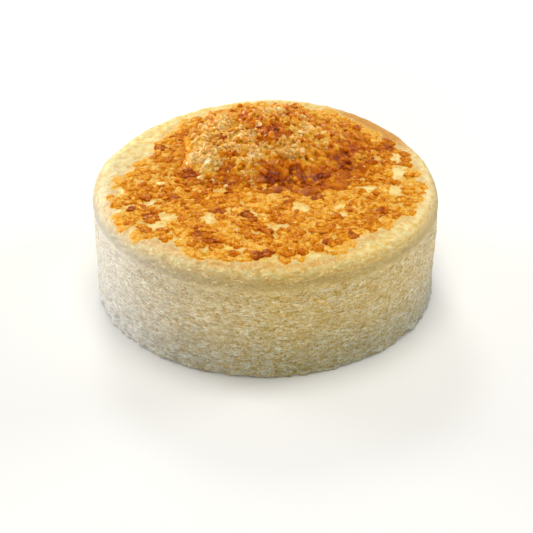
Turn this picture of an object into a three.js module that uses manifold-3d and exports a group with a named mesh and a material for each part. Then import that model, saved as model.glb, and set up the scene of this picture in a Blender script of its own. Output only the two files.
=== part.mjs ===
// A jiggly soufflé cheesecake: a tall, soft, round sponge with a caramelised sugar top and a heap of golden sugar
// crumble towards the back. Millimetres, +Z up, standing on z = 0 with its front towards -Y.
//
// Two solids: cake_body, the sponge with the caramel clumps that have set onto its top, and crumble_heap, the
// loose heap that lies on it. Both are worked out from the driving dimensions below. Random draws come from a
// seeded stream.
import * as THREE from "three";
import { mergeVertices } from "three/addons/utils/BufferGeometryUtils.js";
import Module from "manifold-3d";

const wasm = await Module();
wasm.setup();

// ---------------------------------------------------------------- driving dimensions, in mm

const CAKE_RADIUS = 75; // at the shoulder, the widest ring
const SHOULDER_Z = 44.4; // height of that ring
const SHOULDER_ROUND = 6.6; // radius of the curve from side to top
const CROWN = 1.2; // rise of the top from rim to centre
const SIDE_RADIUS = 74.9; // of the side just below the shoulder
const SIDE_TAPER = 0.5; // how much narrower the side is at the foot
const GROOVE_Z = 40.2; // of the soft groove under the shoulder
const GROOVE_DEPTH = 0.45; // at the front, fading out towards the back
const GROOVE_WIDTH = 2.4;
const FOOT_RADIUS = 73.1; // of the flat underside
const FOOT_ROUND = 2; // height of the rounded edge above it

const BACK_LIFT = 2.4; // the cake rose higher at the back than at the front
const RIGHT_LIFT = 1.5; // and higher at the back right than at the back left
const BACK_SWELL = 1.7; // with a swell along the back rim
const BACK_SWELL_AT = 1.62; // radians from +X
const BACK_SWELL_WIDTH = 0.65;

const CARAMEL_RADIUS = 68; // how far out the caramel clumps reach
const CARAMEL_WOBBLE = 0.035; // unevenness of that edge, as a share
const PALE_BACK_LEFT = 6; // how far the caramel draws back from the rim at the back left
const CLUMP_SPACING = 6.85;
const CLUMP_RADIUS = 3.7;
const CLUMP_SIDES = 6;
const CLUMP_HEIGHT = 1.15;
const CLUMP_ROOT = 0.7; // depth of a clump's foot under the skin

const HEAP_CENTRE = new THREE.Vector2(1, 24.5);
const HEAP_HALF_WIDTH = 39;
const HEAP_HALF_DEPTH = 32;
const HEAP_HEIGHT = 6.5; // of the core at its middle, before the crumbs on it
const HEAP_EDGE = 1.4; // height of the core at its outline
const HEAP_GAP = 0.3; // clearance between the heap and the cake
const CRUMB_SPACING = 6.1;
const CRUMB_RADIUS = 2.6;
const CRUMB_EDGE_SHRINK = 0.25; // crumbs at the heap's edge are smaller by this share
const CLUMP_TO_HEAP = 3.2; // clumps keep this far from the heap's outline

// Bare spots of the top between the clumps: x, y, radius.
const BARE_SPOTS = [
  [-62, -10, 4],
  [-57, 2, 3],
  [-52, 22, 3],
  [-48, -19, 5],
  [-42, -36, 4],
  [-38, -4, 2.5],
  [-36, -50, 3],
  [-30, -27, 2],
  [-24, -54, 3],
  [-21, -12, 4],
  [-14, -28, 2.5],
  [-12, -43, 3],
  [7, -40, 4],
  [16, -26, 5],
  [19, -47, 3.5],
  [33, -29, 3],
  [43, -9, 4],
  [48, -35, 3],
  [55, -10, 3],
  [57, 4, 5.5],
  [59, 17, 4],
];

// ---------------------------------------------------------------- helpers

// A stream of repeatable random numbers from 0 up to 1.
function randomStream(seed) {
  let state = seed >>> 0;
  return () => {
    state = (Math.imul(state, 1664525) + 1013904223) >>> 0;
    return state / 4294967296;
  };
}

const between = (draw, low, high) => low + (high - low) * draw();
const smooth = (t) => {
  const s = Math.min(1, Math.max(0, t));
  return s * s * (3 - 2 * s);
};

// A closed solid from a stack of rings, bottom first. Each ring is a list of points, all lists the same length and
// anticlockwise seen from above. A fan to its middle closes each end.
function stackedRings(rings, bottom, top) {
  const count = rings[0].length;
  const points = [bottom, ...rings.flat(), top];
  const last = points.length - 1;
  const faces = [];
  const at = (ring, i) => 1 + ring * count + (i % count);
  for (let i = 0; i < count; i++) {
    faces.push(0, at(0, i + 1), at(0, i));
    faces.push(last, at(rings.length - 1, i), at(rings.length - 1, i + 1));
    for (let ring = 0; ring < rings.length - 1; ring++) {
      faces.push(at(ring, i), at(ring, i + 1), at(ring + 1, i + 1));
      faces.push(at(ring, i), at(ring + 1, i + 1), at(ring + 1, i));
    }
  }
  const geometry = new THREE.BufferGeometry().setFromPoints(points);
  geometry.setIndex(faces);
  return geometry;
}

// manifold-3d solid of a closed geometry.
function solidOf(geometry) {
  const bare = geometry.clone();
  bare.deleteAttribute("normal");
  bare.deleteAttribute("uv");
  const merged = mergeVertices(bare, 1e-4);
  return new wasm.Manifold(
    new wasm.Mesh({
      numProp: 3,
      vertProperties: new Float32Array(merged.attributes.position.array),
      triVerts: new Uint32Array(merged.index.array),
    }),
  );
}

// three.js geometry of a manifold-3d solid, without the loose scraps that a union can leave.
function geometryOf(solid) {
  const bodies = solid.decompose();
  const largest = bodies.reduce((a, b) => (b.volume() > a.volume() ? b : a));
  const mesh = largest.getMesh();
  const geometry = new THREE.BufferGeometry();
  geometry.setAttribute("position", new THREE.BufferAttribute(mesh.vertProperties, 3));
  geometry.setIndex(new THREE.BufferAttribute(mesh.triVerts, 1));
  geometry.computeVertexNormals();
  return geometry;
}

// ---------------------------------------------------------------- the sponge's form

// The outline isn't a true circle: radius at an angle, as a share.
function outline(angle) {
  return (
    1 +
    0.0021 * Math.cos(2 * angle + 2.6) +
    0.0026 * Math.cos(3 * angle + 1.8) +
    0.0032 * Math.cos(4 * angle + 1.8) +
    0.0025 * Math.cos(5 * angle + 1.9)
  );
}

// How much higher the rim stands at an angle.
function rimLift(angle) {
  const towardsBack = ((1 + Math.sin(angle)) / 2) ** 2;
  const swell = Math.exp(-(((angle - BACK_SWELL_AT) / BACK_SWELL_WIDTH) ** 2));
  return towardsBack * (BACK_LIFT + RIGHT_LIFT * Math.cos(angle)) + BACK_SWELL * swell;
}

const RIM_RADIUS = CAKE_RADIUS - SHOULDER_ROUND;
const RIM_Z = SHOULDER_Z + SHOULDER_ROUND;

// Height of the sponge's top at a point.
function topZ(x, y) {
  const share = Math.min(1, Math.hypot(x, y) / RIM_RADIUS);
  const angle = Math.atan2(y, x);
  const turned = angle < -Math.PI / 2 ? angle + 2 * Math.PI : angle;
  return RIM_Z + CROWN * (1 - share * share) + rimLift(turned) * smooth(share);
}

// Radius of the side at a height, before the outline's unevenness and the groove.
function sideRadius(z) {
  const taper = SIDE_TAPER * (1 - smooth(z / GROOVE_Z));
  const shoulder = (CAKE_RADIUS - SIDE_RADIUS) * smooth((z - GROOVE_Z) / (SHOULDER_Z - GROOVE_Z));
  return SIDE_RADIUS - taper + shoulder;
}

// Depth of the groove under the shoulder at a height and an angle.
function grooveDepth(z, angle) {
  const towardsFront = (1 - Math.sin(angle)) / 2;
  return GROOVE_DEPTH * towardsFront * Math.exp(-(((z - GROOVE_Z) / GROOVE_WIDTH) ** 2));
}

// The sponge's section, from the foot to the edge of the flat top, as [radius, height, share of the rim's lift].
function spongeSection() {
  const section = [[FOOT_RADIUS, 0, 0]];
  const footSide = sideRadius(FOOT_ROUND);
  for (const turn of [0.45, 1]) {
    const a = (turn * Math.PI) / 2;
    section.push([
      FOOT_RADIUS + (footSide - FOOT_RADIUS) * Math.sin(a),
      FOOT_ROUND * (1 - Math.cos(a)),
      0,
    ]);
  }
  for (const z of [12, 24, 36, GROOVE_Z, 42.3]) section.push([sideRadius(z), z, z / SHOULDER_Z]);
  for (const turn of [0, 0.25, 0.5, 0.75, 1]) {
    const a = (turn * Math.PI) / 2;
    section.push([RIM_RADIUS + SHOULDER_ROUND * Math.cos(a), SHOULDER_Z + SHOULDER_ROUND * Math.sin(a), 1]);
  }
  return section;
}

const TURN_STEPS = 80;
const TOP_RINGS = [0.8, 0.55, 0.28]; // of the flat top, as shares of the rim's radius

function spongeSolid() {
  const angles = Array.from({ length: TURN_STEPS }, (_, i) => -Math.PI / 2 + (2 * Math.PI * i) / TURN_STEPS);
  const rings = spongeSection().map(([radius, z, share]) =>
    angles.map((angle) => {
      const r = radius * outline(angle) - grooveDepth(z, angle);
      return new THREE.Vector3(r * Math.cos(angle), r * Math.sin(angle), z + share * rimLift(angle));
    }),
  );
  for (const share of TOP_RINGS) {
    rings.push(
      angles.map((angle) => {
        const x = RIM_RADIUS * share * Math.cos(angle);
        const y = RIM_RADIUS * share * Math.sin(angle);
        return new THREE.Vector3(x, y, topZ(x, y));
      }),
    );
  }
  return solidOf(stackedRings(rings, new THREE.Vector3(0, 0, 0), new THREE.Vector3(0, 0, topZ(0, 0))));
}

// ---------------------------------------------------------------- caramel clumps on the top

// The heap's outline: distance of a point from its middle, 1 on the outline.
function heapShare(x, y) {
  const u = (x - HEAP_CENTRE.x) / HEAP_HALF_WIDTH;
  const v = (y - HEAP_CENTRE.y) / HEAP_HALF_DEPTH;
  const angle = Math.atan2(v, u);
  return Math.hypot(u, v) / heapWobble(angle);
}

function heapWobble(angle) {
  return (
    1 +
    0.05 * Math.cos(3 * angle + 0.9) +
    0.04 * Math.cos(5 * angle - 0.6) +
    0.03 * Math.cos(8 * angle + 2)
  );
}

// How far out the caramel reaches at an angle. It draws back from the rim at the back left.
function caramelEdge(angle) {
  const wobble = Math.cos(5 * angle + 1) + 0.7 * Math.cos(9 * angle - 2);
  const backLeft = Math.exp(-(((angle - 2.45) / 0.42) ** 2));
  return CARAMEL_RADIUS * (1 + CARAMEL_WOBBLE * (wobble - 1) * 0.6) - PALE_BACK_LEFT * backLeft;
}

function isBare(x, y) {
  return BARE_SPOTS.some(([bx, by, radius]) => Math.hypot(x - bx, y - by) < radius + CLUMP_RADIUS * 0.4);
}

// One clump: a low, uneven blob of melted sugar with its foot under the skin.
function clump(x, y, radius, height, draw) {
  const turn = draw() * Math.PI;
  const reach = Array.from({ length: CLUMP_SIDES }, () => radius * between(draw, 0.72, 1.22));
  const ground = topZ(x, y);
  const ring = (share, up) =>
    reach.map((r, i) => {
      const a = turn + (2 * Math.PI * i) / CLUMP_SIDES;
      const px = x + r * share * Math.cos(a);
      const py = y + r * share * Math.sin(a);
      return new THREE.Vector3(px, py, topZ(px, py) + up);
    });
  const shoulderUp = height * between(draw, 0.65, 0.85);
  return stackedRings(
    [ring(1, -CLUMP_ROOT), ring(0.62, shoulderUp)],
    new THREE.Vector3(x, y, ground - CLUMP_ROOT),
    new THREE.Vector3(
      x + between(draw, -0.3, 0.3) * radius,
      y + between(draw, -0.3, 0.3) * radius,
      ground + height,
    ),
  );
}

function clumpSolids() {
  const draw = randomStream(20117);
  const golden = Math.PI * (3 - Math.sqrt(5));
  const count = Math.round((CARAMEL_RADIUS / CLUMP_SPACING) ** 2 * Math.PI);
  const made = [];
  for (let i = 0; i < count; i++) {
    const r = CARAMEL_RADIUS * Math.sqrt((i + 0.5) / count);
    const a = i * golden;
    const x = r * Math.cos(a) + between(draw, -0.18, 0.18) * CLUMP_SPACING;
    const y = r * Math.sin(a) + between(draw, -0.18, 0.18) * CLUMP_SPACING;
    const radius = CLUMP_RADIUS * between(draw, 0.75, 1.15);
    const height = CLUMP_HEIGHT * between(draw, 0.75, 1.3);
    const angle = Math.atan2(y, x);
    const turned = angle < -Math.PI / 2 ? angle + 2 * Math.PI : angle;
    const inside = Math.hypot(x, y) + radius * 0.7 < caramelEdge(turned);
    const clearOfHeap = heapShare(x, y) > 1 + (radius * 1.22 + CLUMP_TO_HEAP) / HEAP_HALF_DEPTH;
    if (inside && clearOfHeap && !isBare(x, y)) made.push(solidOf(clump(x, y, radius, height, draw)));
  }
  return made;
}

// ---------------------------------------------------------------- the heap of crumble

const HEAP_STEPS = 40;
const HEAP_RINGS = [1, 0.82, 0.6, 0.34];

// Rise of the heap's core over the cake at a share of the way out to its outline, with two soft hollows.
function heapRise(x, y) {
  const share = Math.min(1, heapShare(x, y));
  const dome = (1 - share * share) ** 0.75;
  const lumps = 0.8 * Math.sin(x * 0.19 + 1) * Math.cos(y * 0.23 - 0.4) * (1 - share);
  return HEAP_EDGE + (HEAP_HEIGHT - HEAP_EDGE) * dome + lumps;
}

function heapCore() {
  const ring = (share, height) =>
    Array.from({ length: HEAP_STEPS }, (_, i) => {
      const a = (2 * Math.PI * i) / HEAP_STEPS;
      const reach = heapWobble(a) * share;
      const x = HEAP_CENTRE.x + HEAP_HALF_WIDTH * reach * Math.cos(a);
      const y = HEAP_CENTRE.y + HEAP_HALF_DEPTH * reach * Math.sin(a);
      return new THREE.Vector3(x, y, topZ(x, y) + height(x, y));
    });
  const under = [0.34, 0.6, 0.82, 1].map((share) => ring(share, () => HEAP_GAP));
  const over = HEAP_RINGS.map((share) => ring(share, (x, y) => HEAP_GAP + heapRise(x, y)));
  const { x, y } = HEAP_CENTRE;
  const ground = topZ(x, y) + HEAP_GAP;
  const bottom = new THREE.Vector3(x, y, ground);
  const top = new THREE.Vector3(x, y, ground + heapRise(x, y));
  return solidOf(stackedRings([...under, ...over], bottom, top));
}

// One crumb: a faceted chunk of sugar, uneven on every side, that stays clear of the cake under it.
function crumb(x, y, radius, draw) {
  const geometry = mergeVertices(
    new THREE.IcosahedronGeometry(radius, 0).deleteAttribute("normal").deleteAttribute("uv"),
  );
  const position = geometry.attributes.position;
  const stretch = new THREE.Vector3(between(draw, 0.85, 1.25), between(draw, 0.8, 1.15), between(draw, 0.7, 1));
  const turn = new THREE.Euler(draw() * Math.PI, draw() * Math.PI, draw() * Math.PI);
  const point = new THREE.Vector3();
  for (let i = 0; i < position.count; i++) {
    point.fromBufferAttribute(position, i).multiplyScalar(between(draw, 0.78, 1.2)).multiply(stretch).applyEuler(turn);
    position.setXYZ(i, point.x, point.y, point.z);
  }
  const centreZ = topZ(x, y) + HEAP_GAP + heapRise(x, y) * 0.96;
  let lowest = Infinity;
  for (let i = 0; i < position.count; i++) {
    const px = x + position.getX(i);
    const py = y + position.getY(i);
    lowest = Math.min(lowest, centreZ + position.getZ(i) - topZ(px, py) - HEAP_GAP * 1.5);
  }
  geometry.translate(x, y, centreZ - Math.min(0, lowest));
  return solidOf(geometry);
}

function heapSolid() {
  const draw = randomStream(7741);
  const golden = Math.PI * (3 - Math.sqrt(5));
  const area = Math.PI * HEAP_HALF_WIDTH * HEAP_HALF_DEPTH;
  const count = Math.round(area / CRUMB_SPACING ** 2);
  const parts = [heapCore()];
  for (let i = 0; i < count; i++) {
    const share = Math.sqrt((i + 0.5) / count) * 0.97;
    const a = i * golden;
    const reach = heapWobble(a) * share;
    const x = HEAP_CENTRE.x + HEAP_HALF_WIDTH * reach * Math.cos(a) + between(draw, -0.7, 0.7);
    const y = HEAP_CENTRE.y + HEAP_HALF_DEPTH * reach * Math.sin(a) + between(draw, -0.7, 0.7);
    const radius = CRUMB_RADIUS * between(draw, 0.75, 1.3) * (1 - CRUMB_EDGE_SHRINK * share);
    parts.push(crumb(x, y, radius, draw));
  }
  return wasm.Manifold.union(parts);
}

// ---------------------------------------------------------------- materials and assembly

const spongeMaterial = new THREE.MeshStandardMaterial({ color: 0xeed9a2, roughness: 0.9, metalness: 0 });
const crumbleMaterial = new THREE.MeshStandardMaterial({ color: 0xd08a32, roughness: 0.4, metalness: 0 });

const cakeBody = new THREE.Mesh(
  geometryOf(wasm.Manifold.union([spongeSolid(), ...clumpSolids()])),
  spongeMaterial,
);
cakeBody.name = "cake_body";

const crumbleHeap = new THREE.Mesh(geometryOf(heapSolid()), crumbleMaterial);
crumbleHeap.name = "crumble_heap";

// The outline is uneven, so both are shifted together to put the origin under the middle of the whole.
const whole = new THREE.Group();
whole.name = "jiggly_cheesecake";
whole.add(cakeBody, crumbleHeap);
const extent = new THREE.Box3().setFromObject(whole);
const middle = extent.getCenter(new THREE.Vector3());
for (const mesh of [cakeBody, crumbleHeap]) mesh.geometry.translate(-middle.x, -middle.y, 0);

export default whole;
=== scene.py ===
"""Looks of a jiggly souffle cheesecake: porous sponge, burnt sugar, a heap of crumble and its syrup.

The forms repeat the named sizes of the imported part, in millimetres. Meshes are made in millimetres and
scaled to metres where they become Blender objects. +Z is up, the front is towards -Y, and the cake stands
on z = 0.
"""

import math

import bmesh
import bpy
import numpy as np
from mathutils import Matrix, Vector
from mathutils.bvhtree import BVHTree
from mathutils.kdtree import KDTree


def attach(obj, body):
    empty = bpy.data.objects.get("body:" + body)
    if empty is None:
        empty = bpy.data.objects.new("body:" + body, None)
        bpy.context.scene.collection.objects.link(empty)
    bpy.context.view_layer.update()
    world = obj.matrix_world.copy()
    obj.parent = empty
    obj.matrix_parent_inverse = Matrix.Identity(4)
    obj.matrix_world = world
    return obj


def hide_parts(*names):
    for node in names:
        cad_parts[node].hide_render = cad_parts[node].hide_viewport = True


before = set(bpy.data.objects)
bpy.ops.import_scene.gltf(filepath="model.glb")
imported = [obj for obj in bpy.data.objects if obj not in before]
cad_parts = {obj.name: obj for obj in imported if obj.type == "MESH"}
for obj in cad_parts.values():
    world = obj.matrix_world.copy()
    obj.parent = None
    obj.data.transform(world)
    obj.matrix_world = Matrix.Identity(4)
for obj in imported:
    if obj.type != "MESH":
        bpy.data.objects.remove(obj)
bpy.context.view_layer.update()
MM = 0.001
TURN = 2 * math.pi

# ---- sizes that repeat the part's, in mm

CAKE_RADIUS = 75
SHOULDER_Z = 44.4
SHOULDER_ROUND = 6.6
CROWN = 1.2
SIDE_RADIUS = 74.9
SIDE_TAPER = 0.5
GROOVE_Z = 40.2
GROOVE_DEPTH = 0.45
GROOVE_WIDTH = 2.4
FOOT_RADIUS = 73.1
FOOT_ROUND = 2
RIM_RADIUS = CAKE_RADIUS - SHOULDER_ROUND
RIM_Z = SHOULDER_Z + SHOULDER_ROUND
# Waves of the cake's outline: share of its radius, how many round the cake, and start angle.
OUTLINE_WAVES = ((0.0021, 2, 2.6), (0.0026, 3, 1.8), (0.0032, 4, 1.8), (0.0025, 5, 1.9))

BACK_LIFT = 2.4
RIGHT_LIFT = 1.5
BACK_SWELL = 1.7
BACK_SWELL_AT = 1.62
BACK_SWELL_WIDTH = 0.65

CARAMEL_RADIUS = 68
CARAMEL_WOBBLE = 0.035
PALE_BACK_LEFT = 6
PALE_BACK_LEFT_AT = 2.45
PALE_BACK_LEFT_WIDTH = 0.42
CLUMP_SPACING = 6.85
CLUMP_RADIUS = 3.7
CLUMP_SIDES = 6
CLUMP_SEED = 20117
CLUMP_TO_HEAP = 3.2
CLUMP_SHIFT = 0.18  # of a clump from its even place, as a share of the spacing
CLUMP_REACH = 1.22  # of a clump's furthest point, as a share of its radius

HEAP_CENTRE = (1, 24.5)
HEAP_HALF_WIDTH = 39
HEAP_HALF_DEPTH = 32
HEAP_HEIGHT = 6.5
HEAP_EDGE = 1.4
HEAP_WAVES = ((0.05, 3, 0.9), (0.04, 5, -0.6), (0.03, 8, 2))

# Places without clumps: x, y, radius.
BARE_SPOTS = [
    (-62, -10, 4), (-57, 2, 3), (-52, 22, 3), (-48, -19, 5), (-42, -36, 4), (-38, -4, 2.5),
    (-36, -50, 3), (-30, -27, 2), (-24, -54, 3), (-21, -12, 4), (-14, -28, 2.5), (-12, -43, 3),
    (7, -40, 4), (16, -26, 5), (19, -47, 3.5), (33, -29, 3), (43, -9, 4), (48, -35, 3),
    (55, -10, 3), (57, 4, 5.5), (59, 17, 4),
]

# ---- sizes of what only the looks have, in mm

SPONGE_STEPS = 760  # points round the cake
SPONGE_PITCH = 0.6  # between rings on the side
CAP_RADIUS = 67.6  # of the finer skin of the top
CAP_STEPS = 300  # points along each side of its grid
RASTER_HALF = 76  # of the square on which the melted sugar is drawn
RASTER_PITCH = 0.25
CAP_EDGE_SINK = 0.25  # of the cap's edge into the sponge
UNDER_CAP_SINK = 0.8  # of the sponge's own top where the cap covers it
SKIN_LOW_Z = 39  # where the open crumb of the side starts to close to skin
SKIN_RISE = 9  # over which it closes
# The side is painted paler and whiter about this angle: a painted sheen, as if lit from the left.
LIT_SIDE_ANGLE = math.radians(205)  # where the side is palest, from +X
LIT_SIDE_WIDTH = 0.75

SPLAT_PITCH = 4.6  # between the melted drops and clusters of sugar
SPLAT_RADIUS = 2.0
SPLAT_BURN = 0.53  # from 0, raw, to 1, nearly black
DARK_BURN = 0.84
# A bead's burn is lowered in its middle and raised towards its rim: painted glow in the middle and painted
# shade at the rim of each dome.
BEAD_MIDDLE_PAINTED_GLOW = -0.13  # added to a bead's burn in its middle
BEAD_RIM_PAINTED_SHADE = 0.32  # and towards its rim
CRUST_VOXEL = 0.34
HEAP_VOXEL = 0.36
MOST_TRIANGLES = 190000  # in a fused piece
BALL_DETAIL = 3  # subdivisions of a lump or bead
HONEYCOMB = 0.866  # between its rows, as a share of its pitch

# How the melted sugar's edge differs from the clumps': angle in degrees, width, and shift outwards in mm.
EDGE_SHIFTS = [(212, 0.6, 1.8), (-48, 0.4, -2.0), (160, 0.3, -6.5), (52, 0.4, -3.5)]
# Places where more sugar has gathered, and where it is browner: x, y, radius.
SUGAR_SPOTS = [(-40, -47, 6), (-50, -36, 4), (-30, -55, 4), (46, -42, 4)]
BROWNER_SPOTS = [(-38, -42, 12)]
# Dark drops of burnt sugar: x, y, radius.
DARK_DROPS = [
    (-48, -31.5, 3.2), (-19, -28.5, 3), (-8, -31, 2.6), (22.5, -16.5, 3.6), (-28, -46.5, 2.6),
    (-22, -52, 2.2), (-3.5, -62, 2.8), (2, -60, 2.2), (55.5, 25, 2.6), (-46.8, 27, 2.8),
    (-38, -17, 2.2), (50, -28, 2.4), (43, 43, 2.6), (-5, -35, 2), (36, -47, 2.2), (-56, -26, 2),
]

HEAP_APRON = 0.14  # how much further the crumbs spread towards the front and right, as a share
CORE_STEPS = 160
CORE_RINGS = 40
CORE_SINK = 0.1  # of the core under the part's heap
CORE_UNDER = 0.5  # of the core's foot under the cake's top
SYRUP_PITCH = 0.45
SYRUP_SPAN = [(-34, 54), (-24, 20)]  # of its grid, in x and in y
SYRUP_AT = math.radians(-58)  # where it has run out of the heap, seen from the heap's middle
SYRUP_WIDTH = math.radians(36)
# Places in the heap: x, y, radius. Amber lumps show through the pale crumbs, and pale clusters lie on top.
HEAP_AMBER = [
    (3, 27, 7), (-7, 42, 4.5), (5, 43, 3.5), (14, 40, 4.5), (-20, 24, 3), (-15, 10, 4), (-15, 1, 4),
    (2, -5, 5), (10, 0, 4), (29, 10, 7), (24, -3, 7), (36, 20, 5), (-33, 4, 4), (25, 38, 4),
]
HEAP_PALE = [
    (-29, 22, 9), (-22, 38, 8), (-5, 13, 5), (11, 13, 4.5), (14, 25, 3), (3, 33, 2.2),
    (20, -5, 2.2), (-23, 5, 4.5), (4, 51, 5), (-26, 13, 5), (20, 31, 3.5), (-8, 25, 4),
]

FOCAL_PIXELS = 1500  # on a frame 533 pixels wide
FRAME_PIXELS = 533
SENSOR_MM = 36
CAMERA_DISTANCE = 674.9
CAMERA_PITCH = math.radians(32.56)
CAMERA_TARGET = (0.75, 0, 6.8)
FLOOR_HALF = 3.0  # in metres

# ---- colours, from dark or raw to pale or burnt

SKIN_STOPS = [(0.06, "E6B24C"), (0.5, "FAD680"), (1.0, "FFECAA")]
SIDE_STOPS = [(0.08, "B8923E"), (0.28, "DDBA6E"), (0.52, "ECD697"), (0.85, "FAF2D2")]
BURNT_STOPS = [
    (0.1, "FFE9AE"), (0.2, "FAD070"), (0.3, "F2B440"), (0.4, "E69C20"), (0.5, "D8860A"),
    (0.6, "C66C06"), (0.72, "AC5204"), (0.85, "8C3C04"), (1.0, "6C2C04"),
]
CRUMBLE_STOPS = [
    (0.0, "742A02"), (0.2, "A04C04"), (0.4, "C4760A"), (0.6, "D6962A"), (0.8, "E6B05A"), (1.0, "F8D08E"),
]
AMBER_STOPS = [
    (0.0, "7C2E02"), (0.2, "A84A02"), (0.4, "C87208"), (0.6, "DA9A1C"), (0.8, "E2B452"), (1.0, "F4D49C"),
]
SUGAR_TINT = "FFAC40"  # of the highlights of sugar


# ---- numbers


def random_stream(seed):
    """Repeatable random numbers from 0 up to 1, the same stream as the part's."""
    state = seed

    def draw():
        nonlocal state
        state = (state * 1664525 + 1013904223) & 0xFFFFFFFF
        return state / 4294967296

    return draw


def between(draw, low, high):
    return low + (high - low) * draw()


def smooth(t):
    s = np.clip(t, 0, 1)
    return s * s * (3 - 2 * s)


def bell(x, middle, width):
    """1 at the middle, falling off to both sides over about that width."""
    return np.exp(-(((x - middle) / width) ** 2))


def near(x, y, spots, spread=1.0):
    """A bump over each spot, given as x, y and radius, as wide as spread times the radius."""
    squares = [((x - sx) ** 2 + (y - sy) ** 2) / (spread * radius) ** 2 for sx, sy, radius in spots]
    return sum(np.exp(-square) for square in squares)


def waves(angle, parts):
    """1 and some waves round the cake, given as size, count and start."""
    return 1 + sum(size * np.cos(count * angle + start) for size, count, start in parts)


def lattice_value(cell, seed):
    """A repeatable number from 0 to 1 for each whole-numbered cell of space."""
    n = cell[..., 0] * 374761393 + cell[..., 1] * 668265263 + cell[..., 2] * 1440662683 + seed * 974711
    n = (n ^ (n >> 13)) & 0xFFFFFFFF
    n = (n * 1274126177) & 0xFFFFFFFF
    return ((n ^ (n >> 16)) & 0xFFFFFF) / 0xFFFFFF


def noise_at(points, size, seed=0):
    """Smooth noise from -1 to 1, with bumps about size apart."""
    scaled = np.asarray(points, float) / size
    cell = np.floor(scaled).astype(np.int64)
    part = scaled - cell
    part = part * part * (3 - 2 * part)
    total = np.zeros(len(scaled))
    for corner in np.ndindex(2, 2, 2):
        weight = np.prod(np.where(corner, part, 1 - part), axis=1)
        total += weight * lattice_value(cell + np.array(corner), seed)
    return total * 2 - 1


def layers(points, *parts):
    """A sum of noises, given as height, size and seed."""
    return sum(height * noise_at(points, size, seed) for height, size, seed in parts)


def flat_points(x, y):
    return np.stack([x, y, np.zeros_like(x)], -1)


def pits_at(points, size, seed=0):
    """Distance to the nearest of scattered points about size apart, as a share of size."""
    scaled = np.asarray(points, float) / size
    cell = np.floor(scaled).astype(np.int64)
    nearest = np.full(len(scaled), 9.0)
    for step in np.ndindex(3, 3, 3):
        home = cell + np.array(step) - 1
        spot = home + np.stack([lattice_value(home, seed + k) for k in range(3)], -1)
        nearest = np.minimum(nearest, np.linalg.norm(spot - scaled, axis=1))
    return nearest


# ---- the sponge's form


def turned(x, y):
    """Angle of a point from +X, from a quarter turn before it to three quarters after."""
    angle = np.arctan2(y, x)
    return np.where(angle < -math.pi / 2, angle + TURN, angle)


def outline(angle):
    return waves(angle, OUTLINE_WAVES)


def rim_lift(angle):
    towards_back = ((1 + np.sin(angle)) / 2) ** 2
    swell = BACK_SWELL * bell(angle, BACK_SWELL_AT, BACK_SWELL_WIDTH)
    return towards_back * (BACK_LIFT + RIGHT_LIFT * np.cos(angle)) + swell


def top_z(x, y):
    share = np.minimum(1, np.hypot(x, y) / RIM_RADIUS)
    return RIM_Z + CROWN * (1 - share * share) + rim_lift(turned(x, y)) * smooth(share)


def side_radius(z):
    taper = SIDE_TAPER * (1 - smooth(z / GROOVE_Z))
    shoulder = (CAKE_RADIUS - SIDE_RADIUS) * smooth((z - GROOVE_Z) / (SHOULDER_Z - GROOVE_Z))
    return SIDE_RADIUS - taper + shoulder


def groove_depth(z, angle):
    towards_front = (1 - np.sin(angle)) / 2
    return GROOVE_DEPTH * towards_front * bell(z, GROOVE_Z, GROOVE_WIDTH)


def outline_middle():
    """The part is centred on its uneven outline, so every form here is shifted the same way."""
    angle = np.linspace(0, TURN, 721)
    reach = CAKE_RADIUS * outline(angle)
    x, y = reach * np.cos(angle), reach * np.sin(angle)
    return np.array([(x.min() + x.max()) / 2, (y.min() + y.max()) / 2, 0])


MIDDLE = outline_middle()


# ---- where the caramel lies


def heap_share(x, y):
    u = (x - HEAP_CENTRE[0]) / HEAP_HALF_WIDTH
    v = (y - HEAP_CENTRE[1]) / HEAP_HALF_DEPTH
    return np.hypot(u, v) / waves(np.arctan2(v, u), HEAP_WAVES)


def heap_rise(x, y):
    share = np.minimum(1, heap_share(x, y))
    dome = (1 - share * share) ** 0.75
    lumps = 0.8 * np.sin(x * 0.19 + 1) * np.cos(y * 0.23 - 0.4) * (1 - share)
    return HEAP_EDGE + (HEAP_HEIGHT - HEAP_EDGE) * dome + lumps


def caramel_edge(angle):
    wobble = np.cos(5 * angle + 1) + 0.7 * np.cos(9 * angle - 2)
    back_left = PALE_BACK_LEFT * bell(angle, PALE_BACK_LEFT_AT, PALE_BACK_LEFT_WIDTH)
    return CARAMEL_RADIUS * (1 + CARAMEL_WOBBLE * (wobble - 1) * 0.6) - back_left


def caramel_clumps():
    """The part's clumps, as rows of x, y and radius, from the same stream of draws."""
    draw = random_stream(CLUMP_SEED)
    golden = math.pi * (3 - math.sqrt(5))
    count = round((CARAMEL_RADIUS / CLUMP_SPACING) ** 2 * math.pi)
    found = []
    for i in range(count):
        r = CARAMEL_RADIUS * math.sqrt((i + 0.5) / count)
        x = r * math.cos(i * golden) + between(draw, -CLUMP_SHIFT, CLUMP_SHIFT) * CLUMP_SPACING
        y = r * math.sin(i * golden) + between(draw, -CLUMP_SHIFT, CLUMP_SHIFT) * CLUMP_SPACING
        radius = CLUMP_RADIUS * between(draw, 0.75, 1.15)
        draw()  # its height in the part, which isn't needed here
        inside = math.hypot(x, y) + radius * 0.7 < caramel_edge(turned(x, y))
        clear = heap_share(x, y) > 1 + (radius * CLUMP_REACH + CLUMP_TO_HEAP) / HEAP_HALF_DEPTH
        bare = any(math.hypot(x - bx, y - by) < br + CLUMP_RADIUS * 0.4 for bx, by, br in BARE_SPOTS)
        if inside and clear and not bare:
            found.append((x, y, radius))
            for _ in range(CLUMP_SIDES + 4):
                draw()  # its turn, corners and peak in the part
    return np.array(found)


CLUMPS = caramel_clumps()


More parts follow.
